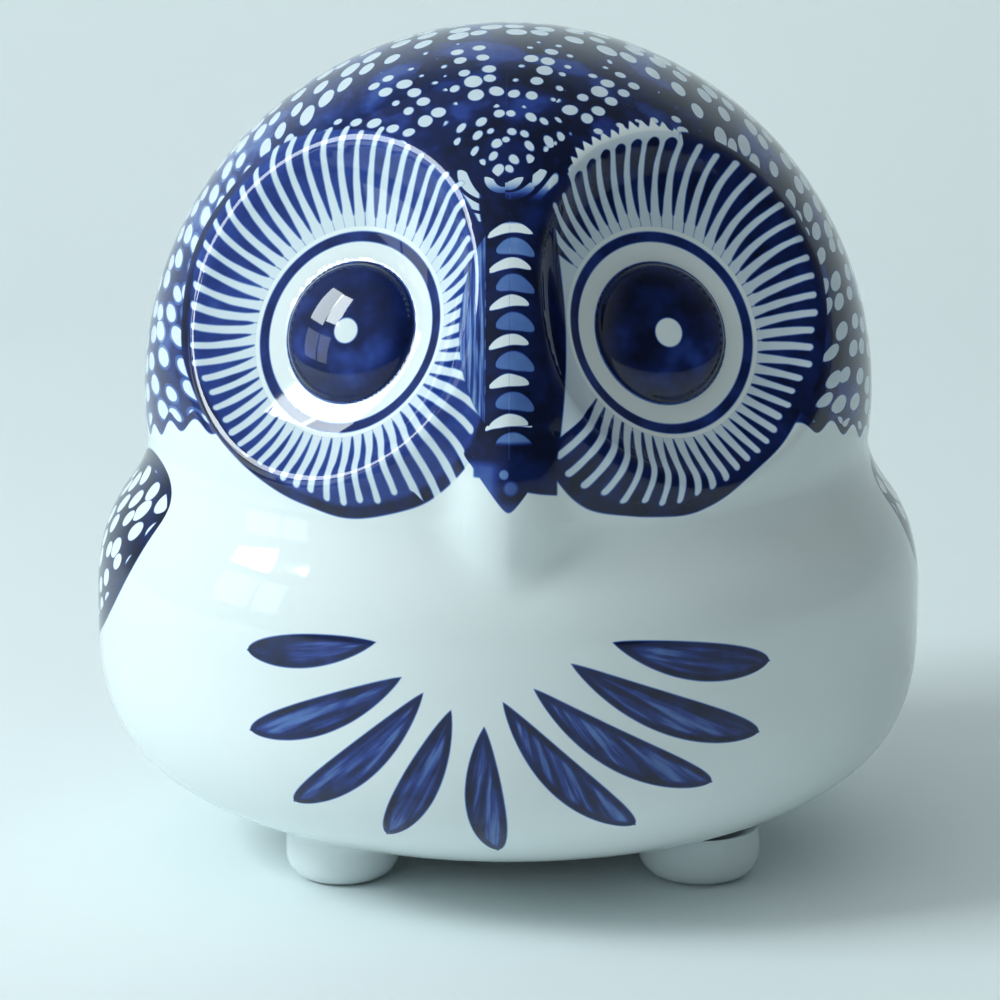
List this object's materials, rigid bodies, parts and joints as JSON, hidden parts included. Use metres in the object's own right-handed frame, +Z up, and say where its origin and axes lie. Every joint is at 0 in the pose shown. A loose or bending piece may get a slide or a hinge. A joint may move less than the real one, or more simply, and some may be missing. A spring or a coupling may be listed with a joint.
{
  "type": "figural animal coin bank",
  "caption": "Hollow glazed ceramic owl coin bank with dished face discs, domed eyes, slotted crown, stub feet and a pull-out base stopper.",
  "frame": {"origin": "on the resting plane, under the centre of the bank's bounding box", "axes": "+Z up; the owl faces -Y, so its own left side is +X"},
  "size_m": [0.1214, 0.114, 0.1216],
  "materials": {
    "white_glaze": "clear gloss glaze over white porcelain, cobalt brushwork",
    "cobalt_glaze_eye_left": "clear gloss glaze over dark cobalt",
    "cobalt_glaze_eye_right": "clear gloss glaze over dark cobalt",
    "cobalt_glaze_beak": "clear gloss glaze, cobalt above a white tip",
    "white_glaze_foot_front_left": "clear gloss glaze, unglazed underside",
    "white_glaze_foot_front_right": "clear gloss glaze, unglazed underside",
    "white_glaze_foot_rear_left": "clear gloss glaze, unglazed underside",
    "white_glaze_foot_rear_right": "clear gloss glaze, unglazed underside",
    "stopper_rubber": "satin moulded soft plastic"
  },
  "bodies": {
    "bank": {"body_shell": "white_glaze", "eye_dome_left": "cobalt_glaze_eye_left", "eye_dome_right": "cobalt_glaze_eye_right", "beak": "cobalt_glaze_beak", "foot_front_left": "white_glaze_foot_front_left", "foot_front_right": "white_glaze_foot_front_right", "foot_rear_left": "white_glaze_foot_rear_left", "foot_rear_right": "white_glaze_foot_rear_right"},
    "stopper": {"stopper": "stopper_rubber"}
  },
  "joints": [
    {"name": "stopper_pull", "type": "slide", "parent": "bank", "child": "stopper", "axis": [0, 0, -1], "range_m": [0, 0.01]}
  ]
}
